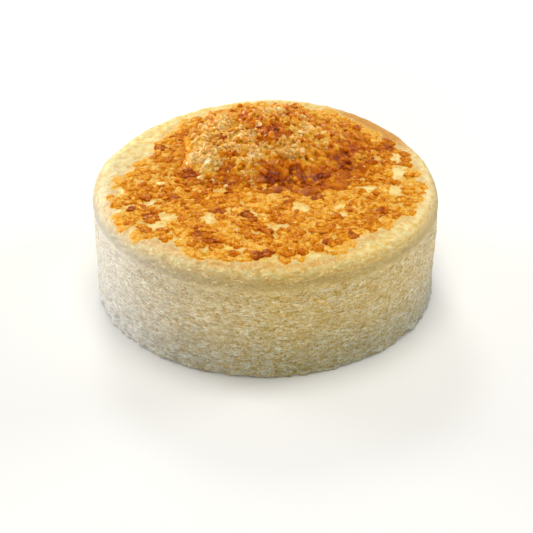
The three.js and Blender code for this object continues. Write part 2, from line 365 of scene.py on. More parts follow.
def sugar_edge(x, y):
    """How far in mm a place is inside the melted sugar's edge."""
    angle = turned(x, y)
    shift = sum(out * bell(angle, math.radians(at), width) for at, width, out in EDGE_SHIFTS)
    return caramel_edge(angle) + shift - np.hypot(x, y)


def glaze_share(x, y):
    """From 0 to 1 where dark syrup has run out of the heap, at its front and right."""
    angle = np.arctan2(y - HEAP_CENTRE[1], x - HEAP_CENTRE[0])
    front = smooth(1.8 - np.abs(angle - SYRUP_AT) / SYRUP_WIDTH)
    ragged = layers(flat_points(x, y), (0.07, 9, 66), (0.06, 3.5, 67))
    return smooth((1.0 + 0.4 * front + ragged - heap_share(x, y)) / 0.14) * smooth(front * 3)


def caramel_cover(x, y):
    """Above 0 where drops of sugar lie, rising to about 1 in the middle of a patch."""
    flat = flat_points(x, y)
    gap = np.hypot(x[:, None] - CLUMPS[:, 0], y[:, None] - CLUMPS[:, 1]) / (1.35 * CLUMPS[:, 2])
    cover = np.maximum(1 - gap.min(1), 0.42 + 0.7 * noise_at(flat, 8, 3))
    cover -= 1.4 * near(x, y, BARE_SPOTS, 0.68)
    for dx, dy, radius in DARK_DROPS:
        cover = np.maximum(cover, 1.1 - np.hypot(x - dx, y - dy) / (radius * 1.7))
    cover += 0.7 * near(x, y, SUGAR_SPOTS) + 0.35 * bell(heap_share(x, y), 1.05, 0.12)
    cover += layers(flat, (0.3, 4.2, 5), (0.15, 1.9, 6)) - 0.5 * glaze_share(x, y)
    return np.minimum(cover, sugar_edge(x, y) / 4 + 0.15 + 0.45 * noise_at(flat, 5, 7))


def stamped(beads):
    """Height and burn of flat beads on the raster, from rows of x, y, radius, rise, burn and turn."""
    axis = np.arange(-RASTER_HALF, RASTER_HALF + RASTER_PITCH / 2, RASTER_PITCH)
    height = np.zeros((len(axis), len(axis)))
    burn = np.zeros_like(height)
    for x, y, radius, rise, own, turn in beads:
        cell = ((np.array([x, y]) + RASTER_HALF) / RASTER_PITCH).astype(int)
        reach = int(radius * 1.3 / RASTER_PITCH) + 1
        rows, columns = [slice(max(k - reach, 0), k + reach + 1) for k in cell]
        dx, dy = axis[rows][:, None] - x, axis[columns][None] - y
        way = np.arctan2(dy, dx)
        wobble = 1 + 0.14 * np.cos(3 * way + turn) + 0.1 * np.cos(2 * way - turn)
        share = np.hypot(dx, dy) / (radius * wobble)
        dome = rise * np.sqrt(np.clip(1 - share * share, 0, 1))
        higher = dome > height[rows, columns]
        height[rows, columns][higher] = dome[higher]
        # Lighter in the middle and darker towards the rim: painted glow and painted shade of each bead's
        # dome.
        burn[rows, columns][higher] = (own + BEAD_MIDDLE_PAINTED_GLOW + BEAD_RIM_PAINTED_SHADE * share**3)[higher]
    return height, burn


def blurred(field, radius):
    """The raster field softened by a bell curve of that radius in mm."""
    steps = int(3 * radius / RASTER_PITCH)
    weights = bell(np.arange(-steps, steps + 1) * RASTER_PITCH, 0, radius)
    weights /= weights.sum()
    for _ in range(2):
        field = np.array([np.convolve(row, weights, "same") for row in field]).T
    return field


def sampled(field, x, y):
    """The raster field's value at each place, straight between its points."""
    u = np.clip((x + RASTER_HALF) / RASTER_PITCH, 0, len(field) - 1.001)
    v = np.clip((y + RASTER_HALF) / RASTER_PITCH, 0, len(field) - 1.001)
    i, j = u.astype(int), v.astype(int)
    a, b = u - i, v - j
    low = field[i, j] * (1 - b) + field[i, j + 1] * b
    high = field[i + 1, j] * (1 - b) + field[i + 1, j + 1] * b
    return low * (1 - a) + high * a


def sugar_pool(x, y):
    """Burn of the thin film that has run between the drops: 0 is bare, about 0.4 is golden."""
    flat = flat_points(x, y)
    pool = 0.25 + layers(flat, (0.12, 9, 61), (0.15, 3.4, 62), (0.13, 1.7, 65))
    pool -= 0.45 * near(x, y, BARE_SPOTS, 0.74)
    pool = np.clip(pool, 0, 0.5) + 0.26 * bell(heap_share(x, y), 1.02, 0.18)
    pool += glaze_share(x, y) * (0.66 - pool + 0.14 * noise_at(flat, 4, 68))
    return pool * smooth((sugar_edge(x, y) + 3) / 6 + 0.35 * noise_at(flat, 5, 7))


def sugar_fields(beads):
    """Rasters of the beads: their height, where they lie, how near they are, and their burn."""
    height, burn = stamped(beads)
    covered = (height > 0.02) * 1.0
    return blurred(height, 0.16), blurred(covered, 0.34), blurred(covered, 1.7), blurred(burn, 0.2)


def sugar_at(x, y, fields):
    """Burn, rise in mm and share of beads of the sugar at each place."""
    rise, on_bead, halo, bead_burn = [sampled(field, x, y) for field in fields]
    film = np.maximum(sugar_pool(x, y), 0.34 * smooth(halo * 1.5 - 0.05))
    burn = film * (1 - on_bead) + np.maximum(bead_burn / np.maximum(on_bead, 0.35), film) * on_bead
    bubbles = smooth(film / 0.3) * (0.16 + layers(flat_points(x, y), (0.12, 1.8, 63), (0.1, 3.2, 64)))
    return burn, rise + bubbles, on_bead


# ---- meshes


def linked(name, data):
    """A new object in the scene."""
    obj = bpy.data.objects.new(name, data)
    bpy.context.scene.collection.objects.link(obj)
    return obj


def mesh_object(name, points, faces, material, smooth_shaded=True):
    """A Blender object from points in mm, shifted like the part and scaled to metres."""
    mesh = bpy.data.meshes.new(name)
    placed = (np.asarray(points, float) - MIDDLE) * MM
    mesh.from_pydata(placed.tolist(), [], [list(map(int, face)) for face in faces])
    mesh.validate()
    mesh.materials.append(material)
    mesh.polygons.foreach_set("use_smooth", [smooth_shaded] * len(mesh.polygons))
    return linked(name, mesh)


def vectors(items, name):
    flat = np.empty(len(items) * 3)
    items.foreach_get(name, flat)
    return flat.reshape(-1, 3)


def points_of(obj):
    """The object's points in mm, in the same frame as the form functions."""
    return vectors(obj.data.vertices, "co") / MM + MIDDLE


def move_points(obj, points):
    obj.data.vertices.foreach_set("co", ((points - MIDDLE) * MM).ravel())


def set_attribute(obj, name, values):
    attribute = obj.data.attributes.new(name, "FLOAT", "POINT")
    attribute.data.foreach_set("value", np.asarray(values, np.float32))


def apply_modifiers(obj):
    graph = bpy.context.evaluated_depsgraph_get()
    done = bpy.data.meshes.new_from_object(obj.evaluated_get(graph))
    obj.modifiers.clear()
    obj.data = done


def ring_faces(rings, count):
    """Faces of a stack of rings, closed by the first point and the last."""
    last = 1 + rings * count
    faces = []
    for i in range(count):
        j = (i + 1) % count
        faces.append((0, 1 + j, 1 + i))
        faces.append((last, 1 + (rings - 1) * count + i, 1 + (rings - 1) * count + j))
    for ring in range(rings - 1):
        low, high = 1 + ring * count, 1 + (ring + 1) * count
        for i in range(count):
            j = (i + 1) % count
            faces.append((low + i, low + j, high + j, high + i))
    return faces


def ball(detail):
    """Points and triangles of a ball of radius 1."""
    form = bmesh.new()
    bmesh.ops.create_icosphere(form, subdivisions=detail, radius=1)
    points = np.array([v.co[:] for v in form.verts])
    faces = np.array([[v.index for v in f.verts] for f in form.faces])
    form.free()
    return points, faces


def turns(rng, count, tilt):
    """Random rotation matrices: any turn about Z, then a lean of up to tilt about a level line."""
    yaw = rng.uniform(0, TURN, count)
    lean = rng.uniform(-tilt, tilt, count)
    line = rng.uniform(0, TURN, count)
    ax, ay, c, s = np.cos(line), np.sin(line), np.cos(lean), np.sin(lean)
    none, full = np.zeros(count), np.ones(count)
    tip = [
        [c + ax * ax * (1 - c), ax * ay * (1 - c), ay * s],
        [ax * ay * (1 - c), c + ay * ay * (1 - c), -ax * s],
        [-ay * s, ax * s, c],
    ]
    spin = [[np.cos(yaw), -np.sin(yaw), none], [np.sin(yaw), np.cos(yaw), none], [none, none, full]]
    return np.array(tip).transpose(2, 0, 1) @ np.array(spin).transpose(2, 0, 1)


def scattered(rng, shapes, faces, centres, sizes, tilt=math.pi):
    """Points and faces of one of the shapes at each centre, sized and turned at random."""
    which = rng.integers(0, len(shapes), len(centres))
    rotations = turns(rng, len(centres), tilt)
    points = np.einsum("kij,knj->kni", rotations, shapes[which] * sizes[:, None, :]) + centres[:, None, :]
    starts = np.arange(len(centres))[:, None, None] * shapes.shape[1]
    return points.reshape(-1, 3), (faces[None] + starts).reshape(-1, faces.shape[1])


def grid_faces(wide, deep):
    """The numbers of a grid's points, and its faces."""
    number = np.arange(wide * deep).reshape(wide, deep)
    corners = number[:-1, :-1], number[1:, :-1], number[1:, 1:], number[:-1, 1:]
    return number, np.stack(corners, -1).reshape(-1, 4)


# ---- node materials


class Nodes:
    """A short way to write a node material."""

    def __init__(self, name):
        self.material = bpy.data.materials.new(name)
        self.material.use_nodes = True
        self.tree = self.material.node_tree
        self.place = self.node("TexCoord").outputs["Object"]
        drawn_out = {0: self.place, 1: (0.42, 0.42, 1)}
        self.level = self.node("VectorMath", drawn_out, operation="MULTIPLY").outputs["Vector"]

    def link(self, source, target):
        """Feed an input from an output, or set it to a number, a row of numbers or a colour's hex code."""
        if isinstance(source, str):
            target.default_value = colour(source)
        elif isinstance(source, (int, float, tuple)):
            target.default_value = source
        else:
            self.tree.links.new(source, target)

    def node(self, kind, inputs=(), **settings):
        """A new node with those settings and inputs."""
        node = self.tree.nodes.new("ShaderNode" + kind)
        for name, value in settings.items():
            setattr(node, name, value)
        for name, source in dict(inputs).items():
            self.link(source, node.inputs[name])
        return node

    def attribute(self, name):
        return self.node("Attribute", attribute_name=name).outputs["Fac"]

    def noise(self, size_mm, detail=2.0, distortion=0.0, roughness=0.5, level=False):
        """Noise of that size. With level, its bumps are drawn out along the ground."""
        inputs = {"Vector": self.level if level else self.place, "Scale": 1 / (size_mm * MM)}
        inputs |= {"Detail": detail, "Distortion": distortion, "Roughness": roughness}
        return self.node("TexNoise", inputs).outputs["Fac"]

    def ramp(self, value, stops):
        """Colours by value, from stops of position and hex code."""
        node = self.node("ValToRGB", {"Fac": value})
        band = node.color_ramp
        while len(band.elements) < len(stops):
            band.elements.new(0.5)
        for element, (position, code) in zip(band.elements, stops):
            element.position = position
            element.color = colour(code)
        return node.outputs["Color"]

    def span(self, value, low, high, to_low=0.0, to_high=1.0):
        """The value moved from one range to another, and held at its ends."""
        return self.node("MapRange", enumerate((value, low, high, to_low, to_high))).outputs["Result"]

    def threads(self, noise, width, height=1.0):
        """Lines of that height along a noise's middle values."""
        away = self.math("ABSOLUTE", self.minus(noise, 0.5), 0.0)
        return self.span(away, 0.0, width, height, 0)

    def math(self, operation, a, b):
        return self.node("Math", {0: a, 1: b}, operation=operation).outputs["Value"]

    def plus(self, a, b):
        return self.math("ADD", a, b)

    def minus(self, a, b):
        return self.math("SUBTRACT", a, b)

    def times(self, a, b):
        return self.math("MULTIPLY", a, b)

    def mix(self, share, a, b, blend="MIX"):
        inputs = {"Factor": share, 6: a, 7: b}
        return self.node("Mix", inputs, data_type="RGBA", blend_type=blend).outputs[2]

    def bump(self, height, depth_mm, strength=1.0):
        inputs = {"Distance": depth_mm * MM, "Strength": strength, "Height": height}
        return self.node("Bump", inputs).outputs["Normal"]

    def finish(self, **sockets):
        """The material, with its shader's sockets fed or set by name."""
        shader = self.tree.nodes["Principled BSDF"]
        for name, source in sockets.items():
            self.link(source, shader.inputs[name.replace("_", " ").title().replace("Ior", "IOR")])
        return self.material


def colour(hex_code):
    """An sRGB colour such as 'F0C070' as the linear colour that nodes hold."""
    parts = [int(hex_code[i : i + 2], 16) / 255 for i in (0, 2, 4)]
    linear = [c / 12.92 if c <= 0.04045 else ((c + 0.055) / 1.055) ** 2.4 for c in parts]
    return (*linear, 1.0)


def skin_colour(n, wrinkles):
    """Colour and relief of the pale baked skin: cream, with wrinkles along the ground."""
    fine = n.noise(1.0, detail=4, distortion=2.0, level=True)
    creases = n.threads(fine, 0.08, 0.45)
    cloudy = n.span(n.noise(1.3, detail=5, roughness=0.6, level=True), 0.38, 0.62, 0.0, 0.92)
    tone = n.plus(n.plus(cloudy, creases), n.span(wrinkles, 1, 0, 0, 0.2))
    base = n.mix(n.span(n.noise(7, detail=3), 0.4, 0.7, 0, 0.4), n.ramp(tone, SKIN_STOPS), "F8CE70")
    return base, n.plus(n.times(fine, 1.8), n.times(creases, 1.7))


def side_colour(n, pores):
    """Colour and relief of the side's open crumb: fine curls along the ground, and darker pits."""
    curls = n.threads(n.noise(1.9, detail=3, distortion=2.2, roughness=0.55, level=True), 0.1)
    crumb = n.span(n.noise(1.3, detail=4, distortion=1.0, roughness=0.6, level=True), 0.34, 0.66)
    pits = n.span(n.noise(2.6, detail=2, distortion=1.2), 0.58, 0.7)
    relief = n.plus(n.times(curls, 0.55), n.times(crumb, 0.45))
    relief = n.times(n.minus(relief, n.times(pits, 0.22)), pores)
    # The colour follows the relief: paler on the raised curls and crumb, darker in the pits, partly the
    # crumb's own browner pores and partly painted shade in its hollows.
    base = n.ramp(n.plus(relief, n.times(n.minus(1.0, pores), 0.36)), SIDE_STOPS)
    return n.mix(n.span(n.noise(14, detail=3), 0.4, 0.7, 0, 0.3), base, "E2C072"), relief


def sponge_colour(n, side, top):
    """Side and skin, with painted shade under the shoulder and at the foot, a painted sheen paling the sides,
    and stains, partly painted shade at the front rim.
    """
    base = n.mix(n.attribute("skin"), side, top)
    # Painted shade in a band under the shoulder, where its rounding overhangs the side.
    base = n.mix(n.attribute("band"), base, "C9A35C")
    # Painted sheen: the side made paler and whiter where the side lights graze it.
    base = n.mix(n.attribute("pale"), base, "FFFFFF", blend="SATURATION")
    # Painted shade: the side darker and bluer towards the foot.
    base = n.mix(n.attribute("low"), base, "CCDAF4", blend="MULTIPLY")
    stain = n.attribute("stain")
    spots = n.span(n.noise(1.6, detail=4, distortion=1.4), 0.3, 0.7, -0.2, 0.2)
    browned = n.span(n.plus(stain, spots), 0.15, 0.7)
    return n.mix(n.times(browned, n.span(stain, 0.0, 0.1)), base, "DCA056")


def melted_sugar(n, burn):
    """The melted film's colour, with pale threads, dark lines that are partly painted shade, painted glints,
    and how far it covers.
    """
    mottle = n.span(n.noise(1.0, detail=5, distortion=1.8, roughness=0.68), 0.3, 0.7, -0.14, 0.14)
    thin = n.times(n.span(burn, 0.62, 0.3), n.threads(n.noise(2.6, detail=2, distortion=3.0), 0.05, 0.24))
    # Thin dark lines in the browner sugar: partly its own darker sugar, partly painted shade along the
    # outlines between its granules.
    lines = n.times(n.threads(n.noise(2.0, detail=3, distortion=2.5), 0.02, 0.17), n.span(burn, 0.25, 0.45))
    burnt = n.minus(n.plus(burn, n.times(mottle, n.span(burn, 0.0, 0.2))), thin)
    # Painted glints: small pale spots that stand in for highlights on the glassy sugar.
    painted_glints = n.span(n.noise(0.8, detail=3, distortion=0.6), 0.63, 0.69, 0, 0.75)
    melted = n.mix(painted_glints, n.ramp(n.plus(burnt, lines), BURNT_STOPS), "FFE6A6")
    return melted, n.span(burnt, 0.02, 0.24)


def cake_material(name):
    """The sponge's side and skin, and the melted sugar on it, darker the more it is burnt."""
    n = Nodes(name)
    wrinkles = n.attribute("wrinkles")
    side, side_relief = side_colour(n, n.attribute("pores"))
    top, top_relief = skin_colour(n, wrinkles)
    melted, covered = melted_sugar(n, n.attribute("burn"))
    bare = n.minus(1.0, covered)
    bare_relief = n.times(n.times(top_relief, wrinkles), bare)
    ripple = n.times(n.noise(1.1, detail=3, distortion=1.0), n.times(covered, 0.85))
    gloss = n.span(n.noise(1.6, detail=2), 0.35, 0.7, 0.1, 0.3)
    return n.finish(
        base_color=n.mix(covered, sponge_colour(n, side, top), melted),
        roughness=n.plus(gloss, n.times(bare, 0.6)),
        specular_ior_level=0.07,
        specular_tint=SUGAR_TINT,
        normal=n.bump(n.plus(side_relief, n.plus(bare_relief, ripple)), 0.55),
        subsurface_weight=0.2,
        subsurface_radius=(1.0, 0.6, 0.25),
        subsurface_scale=1.0 * MM,
    )


def sugar_material(name, stops, roughness=0.2, inner=0.5, coat=0.2, bump_mm=0.12, speckle=0.14, deep=1.6):
    """Burnt sugar. Its colour runs from dark to pale by the piece's own tone and a little noise."""
    n = Nodes(name)
    grain = n.span(n.noise(0.9, detail=3, distortion=0.8), 0.25, 0.75, -speckle, speckle)
    normal = n.bump(n.noise(0.55, detail=3), bump_mm, 0.8)
    return n.finish(
        base_color=n.ramp(n.plus(n.attribute("tone"), grain), stops),
        roughness=n.span(n.noise(1.6, detail=2), 0.35, 0.7, roughness * 0.6, roughness * 1.9),
        specular_ior_level=0.05,
        specular_tint=SUGAR_TINT,
        coat_weight=coat,
        coat_roughness=0.06,
        coat_normal=normal,
        normal=normal,
        subsurface_weight=inner,
        subsurface_radius=(1.0, 0.55, 0.2),
        subsurface_scale=deep * MM,
    )


# ---- the sponge


def sponge_rings():
    """Rings from the underside to near the top's middle: radius, height and share of the rim's lift."""
    rings = [(r, 0, 0) for r in (20, 45, 62, 70, FOOT_RADIUS)]
    foot_side = side_radius(FOOT_ROUND)
    for turn in (0.25, 0.5, 0.75, 1):
        a = turn * math.pi / 2
        r = FOOT_RADIUS + (foot_side - FOOT_RADIUS) * math.sin(a)
        rings.append((r, FOOT_ROUND * (1 - math.cos(a)), 0))
    steps = round((SHOULDER_Z - FOOT_ROUND) / SPONGE_PITCH)
    for i in range(1, steps + 1):
        z = FOOT_ROUND + (SHOULDER_Z - FOOT_ROUND) * i / steps
        rings.append((float(side_radius(z)), z, z / SHOULDER_Z))
    steps = round(SHOULDER_ROUND * math.pi / 2 / SPONGE_PITCH)
    for i in range(1, steps + 1):
        a = math.pi / 2 * i / steps
        z = SHOULDER_Z + SHOULDER_ROUND * math.sin(a)
        rings.append((RIM_RADIUS + SHOULDER_ROUND * math.cos(a), z, 1))
    r = RIM_RADIUS
    while r > 4:
        r -= SPONGE_PITCH if r > CAP_RADIUS - 2 else 4
        rings.append((r, None, 1))
    return rings


def sponge_points(rings):
    """The sponge's even form, ring by ring, and each point's skin, from 0 on the open crumb to 1."""
    angle = -math.pi / 2 + TURN * np.arange(SPONGE_STEPS) / SPONGE_STEPS
    points, skin = [np.zeros((1, 3))], [0]
    for r, z, share in rings:
        if z is None:
            reach, own = r * (1 + (outline(angle) - 1) * smooth(r / RIM_RADIUS)), 1
        else:
            reach, own = r * outline(angle) - groove_depth(z, angle), smooth((z - SKIN_LOW_Z) / SKIN_RISE)
        x, y = reach * np.cos(angle), reach * np.sin(angle)
        height = top_z(x, y) if z is None else z + share * rim_lift(angle)
        points.append(np.stack([x, y, height], -1))
        skin += [float(own)] * SPONGE_STEPS
    points.append([[0, 0, float(top_z(0.0, 0.0))]])
    return np.concatenate(points), np.array(skin + [1], float)


def skin_relief(points):
    """How far the skin stands out from its even form, in wide swells and in fine wrinkles."""
    swell = layers(points, (0.35, 17, 14), (0.14, 6, 15))
    wrinkle = 0.24 * noise_at(points * (0.5, 0.5, 1), 1.6, 16) + 0.14 * noise_at(points, 4, 17)
    return swell, wrinkle


def crumb_relief(points, side):
    """How far the side's open crumb stands out, coarser and more ragged towards the foot."""
    z = points[:, 2]
    crumb = layers(points * (0.55, 0.55, 1), (0.7, 1.5, 11), (0.4, 2.6, 12))
    crumb -= 0.4 * (1 - pits_at(points, 2.8, 13))
    crumb *= 0.31 + 0.3 * smooth((20 - z) / 20)
    ragged = smooth((5 - z) / 5) * layers(points, (0.75, 2.4, 18), (0.3, 1.3, 19))
    return side * (crumb + 0.16 + ragged)


def set_cake_attributes(obj, points, side, sugar):
    """What the cake's material asks of each point."""
    x, y, z = points.T
    around = turned(x, y)
    level_z = z - rim_lift(around) * smooth(z / SHOULDER_Z)
    top, rim = z > SHOULDER_Z, smooth((z - SHOULDER_Z) / 6)
    # Where the left light falls: the painted sheen is strongest there, and the painted shade of the band and
    # foot weaker.
    left = bell(around, LIT_SIDE_ANGLE, LIT_SIDE_WIDTH)
    # Painted sheen, strongest on the left and lighter on the right, as if lit from the sides.
    pale = (0.6 * left + 0.27 * bell(around, 0, 0.7)) * (1 - 0.5 * rim)
    front = smooth((-np.sin(around) - 0.5) / 0.3)
    edge = sugar_edge(x, y)
    # Browned skin beside the sugar's edge. At the front it is stronger and reaches out onto the rounding of
    # the rim, where it is also painted shade.
    beside = 0.4 * bell(edge, 0, 2.5) * (1 - front) + 0.48 * bell(edge, -1.5, 3.5) * front
    inside = smooth(edge / 4) * top
    calm = np.maximum(0.75 * inside, 0.55 * smooth((level_z - 48.5) / 2.5))
    values = {
        "skin": smooth((level_z - 45.5) / 4.5),
        "pores": side,
        "wrinkles": smooth((level_z - 41) / 5) * (1 - calm),
        "stain": np.maximum(0.9 * bell(around, 0.74, 0.4) * rim, beside * top),
        # Painted shade under the shoulder, weaker on the lit left.
        "band": 0.08 * bell(level_z, 44.5, 3.2) * (1 - 0.6 * left),
        # Painted sheen on the sides, kept off the sugar.
        "pale": pale * (1 - inside),
        # Painted shade towards the foot, weaker on the lit left.
        "low": smooth((34 - z) / 34) * side * (1 - 0.6 * left),
        "burn": sugar,
    }
    for name, value in values.items():
        set_attribute(obj, name, value)


def sponge(fields):
    rings = sponge_rings()
    points, skin = sponge_points(rings)
    obj = mesh_object("sponge", points, ring_faces(len(rings), SPONGE_STEPS), cake_material("sponge"))
    x, y, z = points.T
    out, grounded, high = np.hypot(x, y), z < 0.01, smooth((z - SHOULDER_Z) / 3)
    sugar, rise, on_bead = sugar_at(x, y, fields)
    swell, wrinkle = skin_relief(points)
    under_cap = smooth((CAP_RADIUS - 0.3 - out) / 1.2) * (z > SHOULDER_Z)
    move = crumb_relief(points, 1 - skin) + swell + skin * wrinkle * (1 - 0.7 * on_bead)
    move += high * rise - UNDER_CAP_SINK * under_cap
    move[grounded & (out < FOOT_RADIUS * 0.96)] = 0
    normals = vectors(obj.data.vertex_normals, "vector")
    away = np.where(grounded[:, None], points / np.maximum(out, 1)[:, None], normals)
    moved = points + away * move[:, None]
    moved[:, 2] = np.where(grounded, 0, np.maximum(moved[:, 2], 0))
    move_points(obj, moved)
    set_cake_attributes(obj, points, 1 - skin, sugar * high)
    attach(obj, "root")
    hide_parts("cake_body")


def cap_grid():
    """A square grid drawn into a disc, and its faces, closed to a point inside the sponge."""
    steps = np.linspace(-1, 1, CAP_STEPS)
    across, along = np.meshgrid(steps, steps, indexing="ij")
    x = CAP_RADIUS * (across * np.sqrt(1 - along * along / 2)).ravel()
    y = CAP_RADIUS * (along * np.sqrt(1 - across * across / 2)).ravel()
    number, faces = grid_faces(CAP_STEPS, CAP_STEPS)
    edge = [*number[0], *number[1:, -1], *number[-1, -2::-1], *number[-2:0:-1, 0]]
    skirt = [(corner, edge[(i + 1) % len(edge)], CAP_STEPS**2) for i, corner in enumerate(edge)]
    return x, y, faces.tolist() + skirt


def sponge_cap(fields):
    """The skin of the top, finer than the rest of the sponge, with the melted sugar on it."""
    x, y, faces = cap_grid()
    points = np.column_stack([x, y, top_z(x, y)])
    even = points.copy()
    sugar, rise, on_bead = sugar_at(x, y, fields)
    swell, wrinkle = skin_relief(points)
    sunk = CAP_EDGE_SINK * smooth((np.hypot(x, y) - (CAP_RADIUS - 0.4)) / 0.4)
    points[:, 2] += swell + wrinkle * (1 - 0.7 * on_bead) + rise - sunk
    points = np.concatenate([points, [[0, 0, SHOULDER_Z]]])
    even = np.concatenate([even, [[0, 0, RIM_Z]]])
    obj = mesh_object("sponge_cap", points, faces, cake_material("caramel_top"))
    set_cake_attributes(obj, even, np.zeros(len(even)), np.append(sugar, 0))
    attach(obj, "root")


# ---- the caramel crust


def hex_spots(pitch, half, rng, jitter=0.32):
    """Jittered honeycomb of points over a square of that half width."""
    rows = int(half / (pitch * HONEYCOMB))
    spots = []
    for row in range(-rows, rows + 1):
        xs = np.arange(-half, half, pitch) + (pitch / 2 if row % 2 else 0)
        spots.append(np.stack([xs, np.full_like(xs, row * pitch * HONEYCOMB)], -1))
    spots = np.concatenate(spots)
    return spots + rng.uniform(-jitter, jitter, spots.shape) * pitch


def roughened(shapes, *bumps):
    """The shapes with noises of those heights and sizes on their skins, different on each."""
    rough = []
    for k, points in enumerate(shapes):
        out = sum(height * noise_at(points + step * k, size, seed) for height, size, seed, step in bumps)
        rough.append(points * (1 + out)[:, None])
    return np.array(rough)


def knobbly(count):
    """Uneven balls: points of each, and their shared faces."""
    points, faces = ball(BALL_DETAIL)
    return roughened([points] * count, (0.34, 0.9, 40, 7.3), (0.17, 0.45, 41, 3.1)), faces


def chipped(rng, count, detail, cuts):
    """Chunks with flat broken faces: balls cut back by random planes."""
    points, faces = ball(detail)
    shapes = []
    for _ in range(count):
        normals = rng.normal(size=(cuts, 3))
        normals /= np.linalg.norm(normals, axis=1)[:, None]
        depth = rng.uniform(0.5, 0.85, cuts)
        along = points @ normals.T
        reach = np.where(along > 0.05, depth / np.maximum(along, 0.05), 9).min(1)
        shapes.append(points * np.minimum(reach, 1.15)[:, None])
    return np.array(shapes), faces


def jagged(count, cuts):
    """Crumbs with broken faces and a rough skin."""
    shapes, faces = chipped(np.random.default_rng(count * 31 + cuts), count, BALL_DETAIL, cuts)
    return roughened(shapes, (0.34, 0.75, 42, 5.7), (0.2, 0.35, 43, 2.3)), faces


def splats(rng):
    """Rows of x, y, radius and burn: the drops and clusters in which the sugar has melted."""
    spots = hex_spots(SPLAT_PITCH, CARAMEL_RADIUS + 2, rng, 0.36)
    cover = caramel_cover(*spots.T)
    keep = (cover > 0) & (heap_share(*spots.T) > 0.88)
    spots, cover = spots[keep], cover[keep]
    x, y = spots.T
    radius = SPLAT_RADIUS * rng.uniform(0.6, 1.45, len(x)) * (0.75 + 0.4 * np.clip(cover, 0, 1))
    burn = SPLAT_BURN + layers(flat_points(x, y), (0.08, 12, 21), (0.1, 5, 22)) + rng.normal(0, 0.06, len(x))
    drops = np.array(DARK_DROPS)
    away = np.hypot(x[:, None] - drops[:, 0], y[:, None] - drops[:, 1])
    burn += 0.1 * bell(away, 0, 4.5).max(1) + 0.05 * smooth((x - 36) / 10) + 0.06 * near(x, y, BROWNER_SPOTS)
    burn -= 0.11 * (1 - smooth(sugar_edge(x, y) / 7))
    rows = np.column_stack([spots, radius, burn])[away.min(1) > 2.6]
    drops[:, 2] *= 0.8
    return np.concatenate([rows, np.column_stack([drops, np.full(len(drops), DARK_BURN)])])


def petals_of(rng, drops):
    """Rows of x, y, radius, rise, burn and turn: the petals and beads of each drop."""
    rows = []

    def add(x, y, angle, out, radius, rise, burn):
        place = x + out * math.cos(angle), y + out * math.sin(angle)
        low = 0.5 + 0.5 * float(smooth(sugar_edge(*place) / 6))
        rows.append((*place, radius, rise * low, burn, rng.uniform(0, TURN)))

    for x, y, reach, burn in drops:
        add(x, y, 0, 0, 0.95 * reach, 0.25 * reach**0.5, burn - 0.06)
        petals = max(3, round(TURN * 0.8 * reach / 2.1))
        for k in range(petals):
            angle = TURN * (k + rng.uniform(-0.35, 0.35)) / petals
            bead = rng.uniform(0.85, 1.75)
            out = reach * rng.uniform(0.6, 1.05)
            add(x, y, angle, out, bead, 0.25 + 0.4 * bead, burn + rng.normal(0.01, 0.07))
        for _ in range(rng.integers(1, 4)):
            bead = rng.uniform(0.5, 0.9)
            angle, out = rng.uniform(0, TURN), reach * rng.uniform(0, 0.55)
            add(x, y, angle, out, bead, 0.75, burn + rng.normal(-0.05, 0.08))
        for _ in range(rng.integers(0, 4)):
            bead = rng.uniform(0.3, 0.6)
            angle, out = rng.uniform(0, TURN), reach * rng.uniform(1.1, 1.7)
            add(x, y, angle, out, bead, 0.35, burn - 0.04)
    return rows


def fused(obj, voxel):
    """The object's overlapping bodies made one skin, thinned when it has more than MOST_TRIANGLES triangles.
    """
    remesh = obj.modifiers.new("fuse", "REMESH")
    remesh.mode = "VOXEL"
    remesh.voxel_size = voxel * MM
    remesh.use_smooth_shade = True
    apply_modifiers(obj)
    triangles = sum(len(p.vertices) - 2 for p in obj.data.polygons)
    if triangles > MOST_TRIANGLES:
        thin = obj.modifiers.new("thin", "DECIMATE")
        thin.ratio = MOST_TRIANGLES / triangles
        apply_modifiers(obj)
    obj.data.polygons.foreach_set("use_smooth", [True] * len(obj.data.polygons))
    return obj


def nearest_tone(points, centres, tone):
    """The tone of the piece that each point came from."""
    tree = KDTree(len(centres))
    for i, centre in enumerate(centres):
        tree.insert(centre, i)
    tree.balance()
    return np.array([tone[tree.find(p)[1]] for p in points])


def crust(petals):
    """The beads that stand proud of the film: glassy drops of burnt sugar and a share of the petals."""
    rng = np.random.default_rng(511)
    rows = np.array(petals)
    proud = rows[(rows[:, 3] > 0.45) & ((rows[:, 4] > 0.64) | (rng.uniform(0, 1, len(rows)) < 0.11))]
    x, y, radius, rise, burn, _ = proud.T
    sizes = np.stack([radius * 1.1, radius, np.minimum(radius, 0.75) * 0.75], -1)
    centres = np.column_stack([x, y, top_z(x, y) + 0.6 * rise + 0.05])
    points, faces = scattered(rng, *knobbly(12), centres, sizes, 0.3)
    material = sugar_material("caramel_beads", BURNT_STOPS, coat=0.08, speckle=0.24, deep=1.0)
    obj = fused(mesh_object("caramel_crust", points, faces, material), CRUST_VOXEL)
    set_attribute(obj, "tone", nearest_tone(points_of(obj), centres, burn) - 0.09)
    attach(obj, "root")


# ---- the crumble heap


